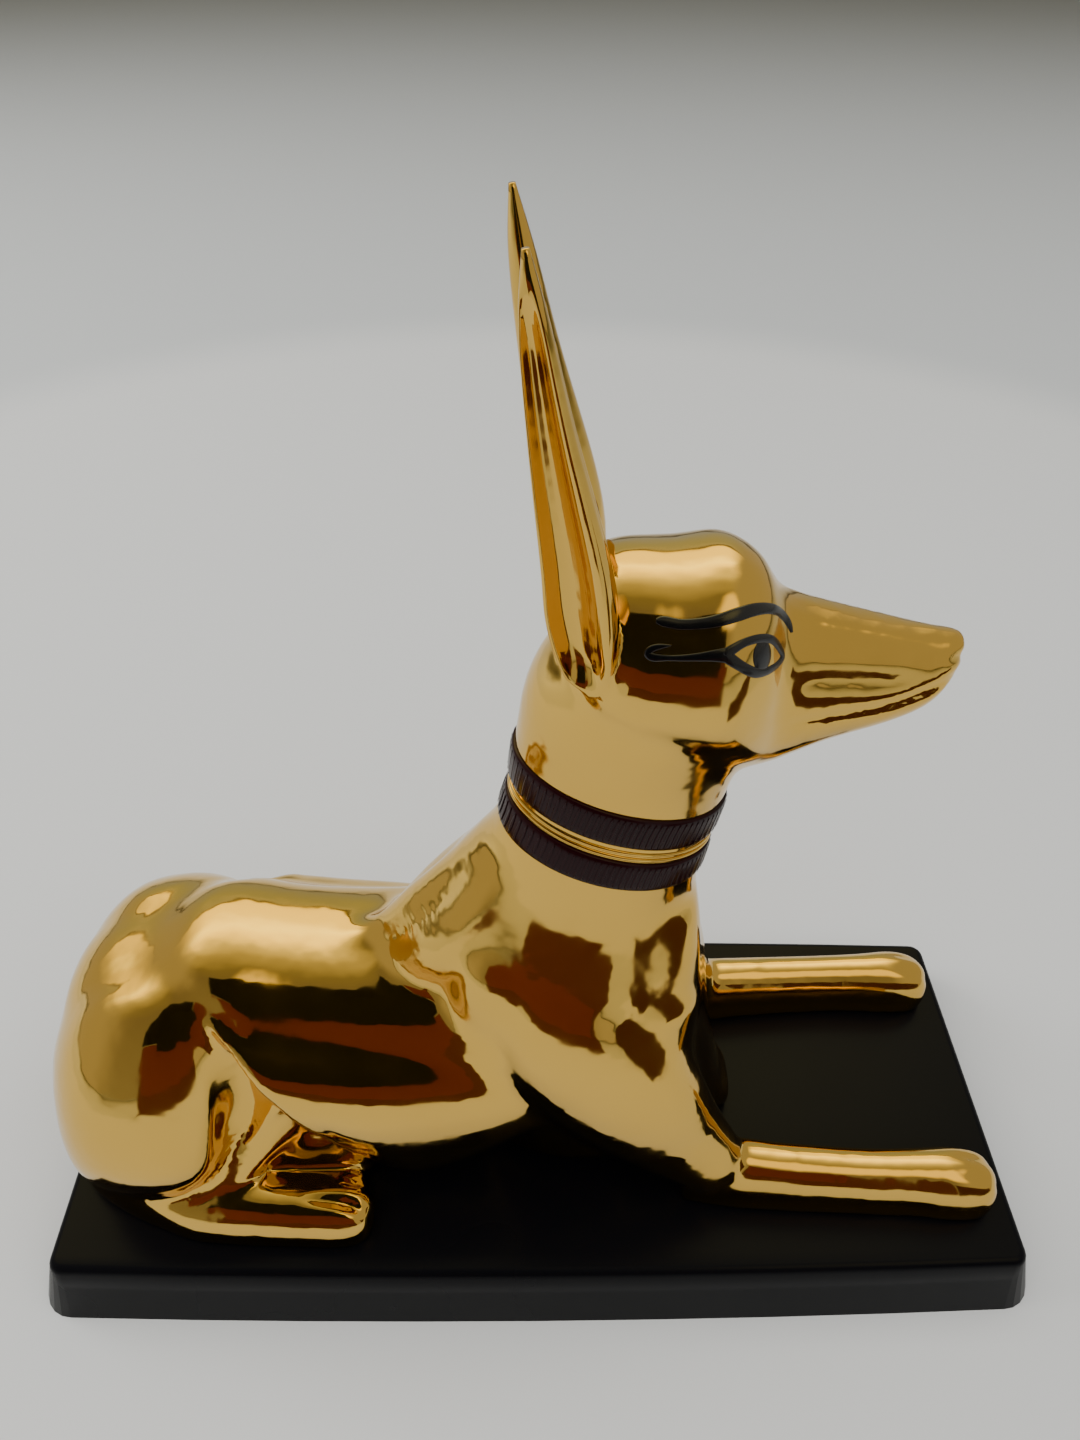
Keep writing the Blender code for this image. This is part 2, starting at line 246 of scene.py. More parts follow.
# Gilt figure
# One slip-cast figure under mirror-bright gold lustre.  Its masses run into each other in
# soft, glossy folds; paws, ears and face stay crisper, as the mould left them.
SEAT = 10.3
SKIN_VOXEL = 0.65
SOFT_PASSES = 62
CRISP_PASSES = 12
LIMB_SIDES = 56
LIMB_STEPS = 8
TRUNK_SQUARENESS = 2.4
HEAD_SQUARENESS = 2.1
FLANK_SQUARENESS = 2.3
RUMP_SQUARENESS = 1.75
BREAST_SQUARENESS = 4.5
PAW_SQUARENESS = 2.15
GOLD = "#DFB65A"
GOLD_DEEP = "#D3A94E"
GOLD_POLISH = 0.05
GOLD_SMUDGE = 0.15
RIPPLE = 3.2
RIPPLE_RISE = 0.25

# Rows: x, y and z of a section's middle, half width, half height above, half height below
TRUNK = [
    (-73, 0, 27, 4, 5, 6),
    (-70.5, 0, 29, 10, 13, 20),
    (-65, 0, 31, 14, 16.3, 24),
    (-57, 0, 33, 16.5, 16.8, 23),
    (-50, 0, 34, 17, 19.6, 25),
    (-44, 0, 34, 17, 20, 25),
    (-36, 0, 33.5, 16.5, 18.8, 24),
    (-24, 0, 34, 16.5, 17.4, 24),
    (-12, 0, 35, 17, 17.1, 25),
    (0, 0, 37, 17, 19.5, 27),
    (12, 0, 36, 15.5, 20, 27),
    (20, 0, 33, 12, 17.5, 24),
    (25, 0, 25, 8, 10, 16),
    (28.5, 0, 16.5, 6, 4.6, 8),
    (31.5, 0, 12.5, 4, 2.5, 4),
]
NECK = [
    (9, 0, 14, 16, 21, 21),
    (6, 0, 33, 17.5, 20, 20),
    (4, 0, 51, 17.2, 19.5, 19.5),
    (5.6, 0, 65, 11.8, 15.6, 15.6),
    (8.1, 0, 76, 10.2, 13.9, 13.9),
    (9.6, 0, 86, 10, 14.1, 14.1),
    (11.2, 0, 96, 11.4, 13.9, 13.9),
    (13, 0, 104, 12, 11, 11),
]
WITHERS = [
    (-26, 0, 44, 5, 8, 8),
    (-18, 0, 47, 8, 9.5, 9.5),
    (-11, 0, 54, 10, 10, 10),
    (-4.4, 0, 64, 9, 8.6, 8.6),
    (1.8, 0, 76, 6.5, 6.2, 6.2),
]
BREAST = [
    (4.5, 0, 30, 15, 18.2, 18.2),
    (4.5, 0, 50, 15.8, 18.2, 18.2),
    (5.4, 0, 56, 13.4, 17, 17),
    (6.4, 0, 62, 10.8, 15.6, 15.6),
    (7.2, 0, 66, 9, 14.3, 14.3),
]
HEAD = [
    (1, 0, 105.5, 3.5, 3, 3),
    (3, 0, 104.3, 8.2, 8.5, 6.7),
    (7, 0, 102.6, 11.6, 12.6, 7.5),
    (14, 0, 102.2, 13, 13.2, 8.8),
    (19, 0, 101.2, 13, 15, 10.4),
    (23, 0, 99.3, 10.6, 15, 11.8),
    (26.5, 0, 97.8, 7.6, 12.1, 11.3),
    (33, 0, 97.6, 5.8, 10.2, 7.9),
    (40, 0, 98, 4.8, 8.1, 5.5),
    (44.4, 0, 99.4, 4, 5.9, 4.4),
    (46.5, 0, 101.4, 3, 3.6, 3.3),
    (47.8, 0, 103.1, 1.6, 1.6, 1.6),
]
TAIL = [
    (-66.5, 0, 42.5, 1.4, 1.6, 1.6),
    (-69.5, 0, 38, 2.5, 2.5, 2.5),
    (-72, 0, 31, 2.7, 2.5, 2.5),
    (-72.9, 0, 22, 2.5, 2.3, 2.3),
    (-72.6, 0, 14, 2.3, 2.1, 2.1),
    (-72.4, 0, 9, 2.2, 2, 2),
]
THIGH = [
    (-50, 8, 48.5, 2, 2, 1.5),
    (-46, 9.8, 46.6, 5, 3, 1.8),
    (-42, 10.8, 42.8, 7, 4, 3),
    (-38, 11.8, 39.6, 7.8, 5.6, 5),
    (-34, 12.6, 36.6, 8.2, 7.6, 7.5),
    (-29, 13.1, 34.2, 8.2, 9.4, 11.5),
    (-24, 13.4, 33, 8.1, 10, 16),
    (-18, 13.4, 32.4, 7.7, 10.1, 19),
    (-12, 13.2, 32, 7.2, 10, 16),
    (-6, 12.6, 31.5, 6.6, 8.5, 12),
    (-1, 12, 31, 5.4, 6.3, 8),
    (2.2, 11.5, 30, 3, 3, 3),
]
RUMP = [
    (-73.4, 6.5, 24, 3, 9, 10),
    (-71.4, 7.5, 24, 9.3, 14, 15),
    (-68, 8.5, 24.5, 13.2, 18.8, 16.5),
    (-63, 9.1, 25.3, 15.1, 22.4, 16.8),
    (-57, 9.1, 25.3, 15.7, 24.4, 16.5),
    (-51.5, 8.6, 25.3, 15.5, 25, 15),
    (-47.2, 8, 27, 12.9, 21.8, 12),
    (-44, 7, 32, 6, 13, 8),
]
GROIN = [
    (-54, 10, 18, 4, 6, 10),
    (-48, 11, 19, 6, 10, 12),
    (-40, 11.5, 19, 6, 10, 12),
    (-33, 12, 18.5, 5.4, 9, 12),
    (-27, 12.4, 17.5, 4.4, 7.5, 10),
    (-23, 12.6, 16, 2.8, 4.5, 7),
]
CALF = [
    (-60, 19, 12, 4, 4, 4),
    (-54, 19.6, 15.5, 4, 4.2, 5),
    (-47.5, 18.2, 21.5, 3.6, 4, 6),
    (-41, 15.4, 28.5, 3.2, 4, 7),
    (-36, 12.8, 34, 3, 4, 6),
]
HIND_FOOT = [
    (-70.5, 9, 13, 4, 6, 7),
    (-67.5, 12.6, 13, 5.7, 9, 7),
    (-62, 16, 13, 6, 11, 7),
    (-56, 18.6, 12.5, 5.9, 8.5, 7),
    (-51, 20.6, 12.5, 5.6, 6, 7),
    (-44, 21.4, 12.5, 5.4, 5.8, 7),
    (-36, 21.8, 12.5, 5.3, 5.4, 7),
    (-30, 21.8, 12.3, 5.4, 5.4, 7),
    (-27, 21.6, 12, 4.6, 4.4, 6),
    (-25.7, 21.5, 11.8, 3, 2.6, 4),
]
UPPER_ARM = [
    (-6, 9.5, 55.5, 3, 4, 4),
    (-2, 11, 52.8, 5.5, 7, 8),
    (3, 12.8, 47, 7, 9.5, 12),
    (8, 14, 38.5, 7.4, 12, 12),
    (14, 14.6, 30.5, 7.3, 11, 11),
    (20, 15.5, 23, 6, 8.5, 8.5),
    (27, 17, 16, 4.6, 5.5, 5.5),
]
FORELEG = [
    (22, 16.5, 13, 3.8, 6, 6),
    (30, 17.1, 12.6, 4.5, 7.5, 6),
    (38, 17.8, 12.5, 4.4, 7.1, 6),
    (50, 18.5, 12.5, 4.3, 6.6, 6),
    (58, 18.7, 12.5, 4.5, 6.7, 6),
    (64, 18.9, 12.4, 5, 6.8, 6),
    (68, 19, 12.2, 4.6, 5.6, 6),
    (70, 19, 12, 3.2, 3.6, 4),
]
EAR_FOOT = 103.5
EAR_TIP = 149.4
EAR_SWAY = 0.6
EAR_TURN = 0.12
# Pairs across the ear from its front edge to its back edge: place, height of the open side
EAR_FACE = [
    (-1, 0), (-0.94, 0.42), (-0.8, 0.72), (-0.6, 0.8), (-0.42, 0.6), (-0.25, 0.12), (-0.05, -0.2),
    (0.25, -0.34), (0.55, -0.24), (0.74, 0.1), (0.85, 0.45), (0.93, 0.5), (0.98, 0.25), (1, 0),
]
EAR_CUP = (103.6, 107.5)
EAR_CLOSES = (141, 148)
EAR_ROOT = 2.4
EAR_ROOT_PASSES = 20
EAR = [
    (5, 9, EAR_FOOT, 1.5, 1.5, 1.5),
    (3.9, 9.3, 107, 2.5, 3.0, 3.0),
    (2.8, 9.5, 113, 2.8, 3.8, 3.8),
    (1.7, 9.6, 120, 2.6, 3.5, 3.5),
    (-1.0, 9.8, 133, 1.9, 2.3, 2.3),
    (-2.8, 10, 143, 1.3, 1.4, 1.4),
    (-3.7, 10, EAR_TIP, 0.4, 0.35, 0.35),
]
LINE_STEPS = 10
LINE_KEENNESS = 1.3
# Rows: x, y and z on the line, its reach to each side, how far it stands out
HIP_VALLEY = [
    (-52, 7, 52, 4, 0), (-48.4, 10.5, 49.5, 4.5, -0.8), (-44.6, 14.3, 45, 5, -2.2),
    (-42.8, 17.3, 38, 5, -3), (-43, 19, 31, 5, -3), (-45.5, 20.5, 24, 4.5, -2.2),
    (-51, 22.5, 19, 3, -1), (-56, 23.8, 17, 2.5, 0),
]
THIGH_EDGE = [
    (-49.5, 9.5, 50, 2.5, 0), (-45.4, 14, 47, 2.5, 0.2), (-41.7, 16.8, 44, 2.5, 0.3),
    (-37.8, 18.8, 40, 2.5, 0.4), (-34, 20.2, 34.5, 2.5, 0.4), (-28.8, 20.4, 26.5, 2.5, 0.4),
    (-23, 19.6, 20, 2.5, 0.3), (-17, 18, 16, 2.5, 0),
]
SHIN = [
    (-57, 23.5, 14.5, 2, 0), (-51, 22.5, 18.5, 2, 0.5), (-45, 19.8, 25, 2, 0.7),
    (-39, 17, 32, 2, 0.6), (-36, 15.5, 35.5, 2, 0),
]
NECK_FOLDS = [
    [(-27, 2.5, 50.5, 4, 0), (-22.5, 4, 54, 4, -0.7), (-15.7, 4.4, 62, 4, -0.9), (-10, 4, 69, 4, 0)],
    [(-21, 8.5, 51, 4.5, 0), (-15.7, 8.6, 55.7, 4.5, 0.6), (-10.5, 8, 62.5, 4.5, 0.7), (-6, 7.5, 69, 4, 0)],
]
FACE_LINES = [
    [(26, 2.4, 109, 2, 0), (29, 2.6, 108.4, 2, 0.3), (37, 2.2, 106.3, 2, 0.35), (44, 2, 104.6, 1.6, 0)],
    [(27.5, 6.6, 102.6, 2.6, 0), (30, 6, 102.2, 2.6, -0.35), (38, 4.8, 101.2, 2.4, -0.3), (43, 4, 101, 2, 0)],
    [(27, 7, 97.3, 1.3, 0), (30, 6.4, 96.9, 1.3, -0.3), (38, 5, 97.6, 1.3, -0.4), (44, 4, 99.6, 1.3, -0.4),
     (46.4, 2.6, 100.8, 1.2, -0.2), (47, 1.2, 101.2, 1.2, 0)],
    [(45, 3.4, 102.8, 1.3, 0), (46.6, 2.4, 102.9, 1.4, -0.4), (47.5, 0.8, 102.5, 1.4, -0.5)],
]
TOE_GROOVES = [
    [(-36, 23.2, 18.4, 1.6, 0), (-33, 23.4, 18.2, 1.6, -0.7), (-29, 23.7, 17.3, 1.7, -1), (-26, 24, 13.5, 1.6, -0.8)],
    [(-35, 19.6, 18.4, 1.5, 0), (-31, 19.8, 18.2, 1.6, -0.8), (-28, 20, 17, 1.7, -1), (-25.6, 20, 13.5, 1.6, -0.8)],
    [(62, 17.6, 19.2, 1.6, 0), (66, 17.6, 18.6, 1.8, -0.35), (69.5, 17.7, 15.5, 1.6, -0.35)],
    [(62, 20.4, 18.9, 1.6, 0), (66, 20.6, 18.2, 1.8, -0.35), (69.3, 20.6, 15.2, 1.6, -0.35)],
]


def spline(stations, steps):
    """Catmull-Rom curve through rows of numbers, with steps samples for each span."""
    rows = [Vector(row) for row in stations]
    rows = [2 * rows[0] - rows[1]] + rows + [2 * rows[-1] - rows[-2]]
    samples = []
    for before, start, end, after in zip(rows, rows[1:], rows[2:], rows[3:]):
        slope_in = (end - before) / 2
        slope_out = (after - start) / 2
        rise = end - start
        bend = 3 * rise - 2 * slope_in - slope_out
        twist = slope_in + slope_out - 2 * rise
        for step in range(steps):
            t = step / steps
            samples.append(start + slope_in * t + bend * t ** 2 + twist * t ** 3)
    samples.append(rows[-2])
    return samples


def between(value, low, high):
    """0 up to low, 1 from high on, with a soft step from one to the other."""
    t = min(max((value - low) / (high - low), 0), 1)
    return t * t * (3 - 2 * t)


def ear_face(place):
    """Height of the ear's open side, across from the front edge (-1) to the back (1)."""
    for (start, low), (end, high) in zip(EAR_FACE, EAR_FACE[1:]):
        if place <= end:
            return low + (high - low) * between(place, start, end)
    return 0


def join_rings(mesh_data, rings, closed_end=True):
    """Skin over rings of points, with flat ends or joined round into a loop."""
    loops = [[mesh_data.verts.new(point) for point in ring] for ring in rings]
    following_loops = loops[1:] if closed_end else loops[1:] + loops[:1]
    for loop, following in zip(loops, following_loops):
        for corner in range(len(loop)):
            after = (corner + 1) % len(loop)
            mesh_data.faces.new((loop[corner], loop[after], following[after], following[corner]))
    if closed_end:
        mesh_data.faces.new(list(reversed(loops[0])))
        mesh_data.faces.new(loops[-1])


def rounded(value, squareness):
    """Sine or cosine drawn out towards a square: 2 is an ellipse, more is boxier."""
    return math.copysign(abs(value) ** (2 / squareness), value)


def add_limb(skin, stations, side=1, squareness=2.0, upright=False, dished=False):
    """Closed form swept along its sections; side is 1 for the left and -1 for the right."""
    samples = spline(stations, LIMB_STEPS)
    centres = [Vector((row[0], row[1] * side, row[2])) for row in samples]
    rings = []
    for index, row in enumerate(samples):
        ahead = centres[min(index + 1, len(centres) - 1)]
        behind = centres[max(index - 1, 0)]
        tangent = Vector((1, 0, 0)) if upright else (ahead - behind).normalized()
        across = Vector((0, side, 0))
        across = (across - across.dot(tangent) * tangent).normalized()
        above = tangent.cross(Vector((0, 1, 0))).normalized()
        swing = Matrix.Rotation(EAR_TURN * side if dished else 0, 3, tangent)
        ring = []
        for corner in range(LIMB_SIDES):
            angle = 2 * math.pi * corner / LIMB_SIDES
            reach = rounded(math.cos(angle), squareness)
            if dished and reach > 0:
                open_share = between(row[2], *EAR_CUP) * (1 - between(row[2], *EAR_CLOSES))
                reach += (ear_face(math.sin(angle)) - reach) * open_share
            tall = row[4] if math.sin(angle) > 0 else row[5]
            tall *= rounded(math.sin(angle), squareness)
            ring.append(centres[index] + swing @ (across * row[3] * reach + above * tall))
        rings.append(ring)
    join_rings(skin, rings)


def settle_modifiers(thing):
    """Make the modified shape the object's own mesh."""
    depsgraph = bpy.context.evaluated_depsgraph_get()
    shaped = bpy.data.meshes.new_from_object(thing.evaluated_get(depsgraph))
    thing.modifiers.clear()
    thing.data = shaped


def softness(point):
    """How much the model is worked smooth here: body and neck, not head, paws and feet."""
    body = 1 - between(point.z, 86, 98)
    paws = between(point.x, 22, 30) * (1 - between(point.z, 22, 34))
    feet = between(abs(point.y), 17, 20) * (1 - between(point.z, 17, 22))
    jaw = between(abs(point.y), 4, 8) * between(point.z, 84, 90) * (1 - between(point.z, 98, 103))
    body += jaw * (1 - between(point.x, 20, 26))
    gap = min((point - Vector((x, y * math.copysign(1, point.y), z))).length for x, y, z, *_ in THIGH_EDGE)
    return max(min(body, 1) - paws - feet - 1 + between(gap, 2, 5), 0)


def work_line(mesh, route, side):
    """Draw a line of the modelling tool: rows are x, y, z, reach and how far it stands out.

    The form swells by the last number along the line, or sinks where it is negative.
    """
    finder = KDTree(len(mesh.vertices))
    for vertex in mesh.vertices:
        finder.insert(vertex.co, vertex.index)
    finder.balance()
    pushes = {}
    for x, y, z, reach, lift in spline(route, LINE_STEPS):
        spot = Vector((x, y * side, z)) * MM
        for _, index, distance in finder.find_range(spot, reach * MM):
            push = lift * (1 - (distance / (reach * MM)) ** LINE_KEENNESS) ** 2
            if abs(push) > abs(pushes.get(index, 0)):
                pushes[index] = push
    moves = [(index, mesh.vertices[index].normal * push * MM) for index, push in pushes.items()]
    for index, move in moves:
        mesh.vertices[index].co += move


gilding, shader = new_material("gold lustre")
tree = gilding.node_tree
place = add_node(tree, "ShaderNodeTexCoord").outputs["Object"]
cloud = add_node(tree, "ShaderNodeTexNoise", {"Vector": place}, Scale=1 / (24 * MM), Detail=3.0)
tone = add_node(tree, "ShaderNodeMix", {0: cloud.outputs["Fac"]}, data_type="RGBA")
tone.inputs[6].default_value = linear(GOLD)
tone.inputs[7].default_value = linear(GOLD_DEEP)
smudge = add_node(tree, "ShaderNodeTexNoise", {"Vector": place}, Scale=1 / (7 * MM), Detail=4.0)
polish = add_node(
    tree, "ShaderNodeMapRange", {"Value": smudge.outputs["Fac"]},
    From_Min=0.35, From_Max=0.75, To_Min=GOLD_POLISH, To_Max=GOLD_SMUDGE,
)
ripple = add_node(tree, "ShaderNodeTexNoise", {"Vector": place}, Scale=1 / (RIPPLE * MM), Detail=1.0)
waves = add_node(
    tree, "ShaderNodeBump", {"Height": ripple.outputs["Fac"]}, Strength=0.3, Distance=RIPPLE_RISE * MM
)
tree.links.new(tone.outputs[2], shader.inputs["Base Color"])
tree.links.new(polish.outputs[0], shader.inputs["Roughness"])
tree.links.new(waves.outputs[0], shader.inputs["Normal"])
shader.inputs["Metallic"].default_value = 1.0

skin = bmesh.new()
add_limb(skin, TRUNK, squareness=TRUNK_SQUARENESS, upright=True)
add_limb(skin, HEAD, squareness=HEAD_SQUARENESS, upright=True)
add_limb(skin, BREAST, squareness=BREAST_SQUARENESS)
for limb in (NECK, WITHERS, TAIL):
    add_limb(skin, limb)
for side in (-1, 1):
    for limb in (UPPER_ARM, GROIN, CALF):
        add_limb(skin, limb, side)
    add_limb(skin, THIGH, side, squareness=FLANK_SQUARENESS, upright=True)
    add_limb(skin, RUMP, side, squareness=RUMP_SQUARENESS, upright=True)
    for limb in (FORELEG, HIND_FOOT):
        add_limb(skin, limb, side, squareness=PAW_SQUARENESS)
bmesh.ops.recalc_face_normals(skin, faces=skin.faces)
jackal = new_piece("jackal_gilt", skin, gilding)
merge = jackal.modifiers.new("one skin", "REMESH")
merge.mode = "VOXEL"
merge.voxel_size = SKIN_VOXEL * MM
merge.use_smooth_shade = True
settle_modifiers(jackal)
group = jackal.vertex_groups.new(name="soft")
for vertex in jackal.data.vertices:
    group.add([vertex.index], softness(vertex.co / MM), "REPLACE")
soft = jackal.modifiers.new("soft joins", "SMOOTH")
soft.vertex_group = group.name
soft.iterations = SOFT_PASSES
crisp = jackal.modifiers.new("crisp joins", "SMOOTH")
crisp.iterations = CRISP_PASSES
settle_modifiers(jackal)

for side in (-1, 1):
    for route in (HIP_VALLEY, THIGH_EDGE, SHIN, *NECK_FOLDS, *FACE_LINES, *TOE_GROOVES):
        work_line(jackal.data, route, side)

cut = bmesh.new()
cut.from_mesh(jackal.data)
everything = cut.verts[:] + cut.edges[:] + cut.faces[:]
bmesh.ops.bisect_plane(
    cut, geom=everything, plane_co=(0, 0, SEAT * MM), plane_no=(0, 0, 1), clear_inner=True
)
bmesh.ops.holes_fill(cut, edges=[edge for edge in cut.edges if edge.is_boundary])
bmesh.ops.triangulate(cut, faces=cut.faces)
cut.to_mesh(jackal.data)
cut.free()
body_surface = BVHTree.FromPolygons(
    [vertex.co / MM for vertex in jackal.data.vertices],
    [tuple(face.vertices) for face in jackal.data.polygons],
)

ears = bmesh.new()
for side in (-1, 1):
    lean = side * EAR_SWAY / (EAR_TIP - EAR_FOOT)
    swayed = [(x - lean * (z - EAR_FOOT), y, z, *sizes) for x, y, z, *sizes in EAR]
    add_limb(ears, swayed, side, dished=True)
bmesh.ops.recalc_face_normals(ears, faces=ears.faces)
ear_pair = new_piece("ears", ears, gilding)
ear_surface = BVHTree.FromPolygons(
    [vertex.co / MM for vertex in ear_pair.data.vertices],
    [tuple(face.vertices) for face in ear_pair.data.polygons],
)
join = jackal.modifiers.new("ears", "BOOLEAN")
join.operation = "UNION"
join.object = ear_pair
settle_modifiers(jackal)
root = jackal.vertex_groups.new(name="ear root")
for vertex in jackal.data.vertices:
    if vertex.co.z > EAR_FOOT * MM:
        gaps = [finder.find_nearest(vertex.co / MM)[3] for finder in (body_surface, ear_surface)]
        root.add([vertex.index], 1 - between(max(gaps), EAR_ROOT / 2, EAR_ROOT), "REPLACE")
blend = jackal.modifiers.new("ear root", "SMOOTH")
blend.vertex_group = root.name
blend.iterations = EAR_ROOT_PASSES
settle_modifiers(jackal)
bpy.data.objects.remove(ear_pair, do_unlink=True)
jackal.data.shade_smooth()
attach(jackal, "root")
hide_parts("jackal")

# Collar
# Two raised bands of dark red enamel round the neck, finely ribbed from top to bottom.
# Between them the bare gold runs in a channel with two thin ridges.
COLLAR_SLOPE = 0.28
NECK_AXIS = 9.0
BANDS = [("upper", 79.7, 84.9), ("lower", 72.4, 77.1)]
BAND_PROUD = 0.5
RIDGES = [(77.45, 78.05), (78.35, 78.95)]
RIDGE_PROUD = 0.22
UNDERCUT = 0.6
ROUND_NECK = 220
RIBS = 84
RIB_WIDTH = 0.5
RIB_PROUD = 0.045
RIB_MARGIN = 0.7
ENAMEL_RED = "#21060A"


def on_neck(level, angle, proud):
    """Point round the neck, level along the collar's slope, proud of the skin."""
    outward = Vector((math.cos(angle), math.sin(angle), -COLLAR_SLOPE * math.cos(angle)))
    spot, normal, _, _ = body_surface.ray_cast(Vector((NECK_AXIS, 0, level)), outward.normalized())
    return spot + normal * proud


def neck_ring(name, low, high, proud, material, squareness=3.5, sides=20):
    """Closed ring on the neck between two levels, with a rounded outer face."""
    ring_mesh = bmesh.new()
    middle = (low + high) / 2
    half = (high - low) / 2
    rings = []
    for step in range(ROUND_NECK):
        angle = 2 * math.pi * step / ROUND_NECK
        ring = []
        for corner in range(sides):
            turn = 2 * math.pi * corner / sides
            level = middle + half * rounded(math.cos(turn), squareness)
            rise = rounded(math.sin(turn), squareness)
            ring.append(on_neck(level, angle, rise * (proud if rise > 0 else UNDERCUT)))
        rings.append(ring)
    join_rings(ring_mesh, rings, closed_end=False)
    bmesh.ops.recalc_face_normals(ring_mesh, faces=ring_mesh.faces)
    return new_piece(name, ring_mesh, material)


enamel, shader = new_material("dark red enamel")
tree = enamel.node_tree
place = add_node(tree, "ShaderNodeTexCoord").outputs["Object"]
pool = add_node(tree, "ShaderNodeTexNoise", {"Vector": place}, Scale=1 / (2.5 * MM), Detail=2.0)
depth = add_node(
    tree, "ShaderNodeMapRange", {"Value": pool.outputs["Fac"]}, To_Min=0.12, To_Max=0.26
)
tree.links.new(depth.outputs[0], shader.inputs["Roughness"])
shader.inputs["Base Color"].default_value = linear(ENAMEL_RED)
shader.inputs["Specular IOR Level"].default_value = 0.15

rib_tree = bpy.data.node_groups.new("collar ribs", "GeometryNodeTree")
socket = rib_tree.interface.new_socket
socket("Geometry", in_out="INPUT", socket_type="NodeSocketGeometry")
width_input = socket("Rib width", in_out="INPUT", socket_type="NodeSocketFloat")
length_input = socket("Rib length", in_out="INPUT", socket_type="NodeSocketFloat")
proud_input = socket("Rib proud", in_out="INPUT", socket_type="NodeSocketFloat")
up_input = socket("Along the neck", in_out="INPUT", socket_type="NodeSocketVector")
finish_input = socket("Enamel", in_out="INPUT", socket_type="NodeSocketMaterial")
socket("Geometry", in_out="OUTPUT", socket_type="NodeSocketGeometry")
given = add_node(rib_tree, "NodeGroupInput").outputs
bead = add_node(rib_tree, "GeometryNodeMeshUVSphere", Segments=8, Rings=6, Radius=0.5)
spread = add_node(
    rib_tree, "ShaderNodeCombineXYZ",
    {"X": given["Rib width"], "Y": given["Rib length"], "Z": given["Rib proud"]},
)
spots = add_node(rib_tree, "GeometryNodeMeshToPoints", {"Mesh": given["Geometry"]}, mode="FACES")
facing = add_node(rib_tree, "GeometryNodeInputNormal").outputs[0]
keep = add_node(
    rib_tree, "GeometryNodeCaptureAttribute", {"Geometry": given["Geometry"]}, domain="FACE"
)
keep.capture_items.new("VECTOR", "facing")
rib_tree.links.new(facing, keep.inputs["facing"])
rib_tree.links.new(keep.outputs["Geometry"], spots.inputs["Mesh"])
outward = add_node(
    rib_tree, "FunctionNodeAlignRotationToVector", {"Vector": keep.outputs["facing"]}, axis="Z"
)
upright = add_node(
    rib_tree, "FunctionNodeAlignRotationToVector",
    {"Rotation": outward.outputs[0], "Vector": given["Along the neck"]},
    axis="Y", pivot_axis="Z",
)
copies = add_node(
    rib_tree, "GeometryNodeInstanceOnPoints",
    {
        "Points": spots.outputs[0], "Instance": bead.outputs["Mesh"],
        "Rotation": upright.outputs[0], "Scale": spread.outputs[0],
    },
)
solid_ribs = add_node(rib_tree, "GeometryNodeRealizeInstances", {"Geometry": copies.outputs[0]})
smooth_ribs = add_node(rib_tree, "GeometryNodeSetShadeSmooth", {0: solid_ribs.outputs[0]})
finished = add_node(
    rib_tree, "GeometryNodeSetMaterial",
    {"Geometry": smooth_ribs.outputs[0], "Material": given["Enamel"]},
)
add_node(rib_tree, "NodeGroupOutput", {"Geometry": finished.outputs[0]})

for name, low, high in BANDS:
    band = neck_ring(f"collar_band_{name}", low, high, BAND_PROUD, enamel)
    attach(band, "root")
    strip = bmesh.new()
    edges = []
    for step in range(RIBS):
        angle = 2 * math.pi * step / RIBS
        edges.append([strip.verts.new(on_neck(level, angle, BAND_PROUD)) for level in (low, high)])
    for edge, following in zip(edges, edges[1:] + edges[:1]):
        strip.faces.new((edge[0], following[0], following[1], edge[1]))
    ribs = new_piece(f"collar_ribs_{name}", strip, enamel)
    ribbing = ribs.modifiers.new("ribs", "NODES")
    ribbing.node_group = rib_tree
    ribbing[width_input.identifier] = RIB_WIDTH * MM
    ribbing[length_input.identifier] = (high - low - RIB_MARGIN) * MM
    ribbing[proud_input.identifier] = 2 * RIB_PROUD * MM
    ribbing[up_input.identifier] = (COLLAR_SLOPE, 0, 1)
    ribbing[finish_input.identifier] = enamel
    settle_modifiers(ribs)
    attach(ribs, "root")
for number, (low, high) in enumerate(RIDGES, 1):
    ridge = neck_ring(f"collar_ridge_{number}", low, high, RIDGE_PROUD, gilding, squareness=2, sides=12)
    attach(ridge, "root")

# Eyes
# Brow, eye and the long line behind it, drawn in thick black glaze on each side of the
# head, as the ancient eye mark is.  The glaze stands a little proud and rounds over.
FACE_LEAN = math.radians(35)
GLAZE_PROUD = 0.16
GLAZE_ROOT = 0.35
GLAZE_BLACK = "#08080A"
GLAZE_ACROSS = 8
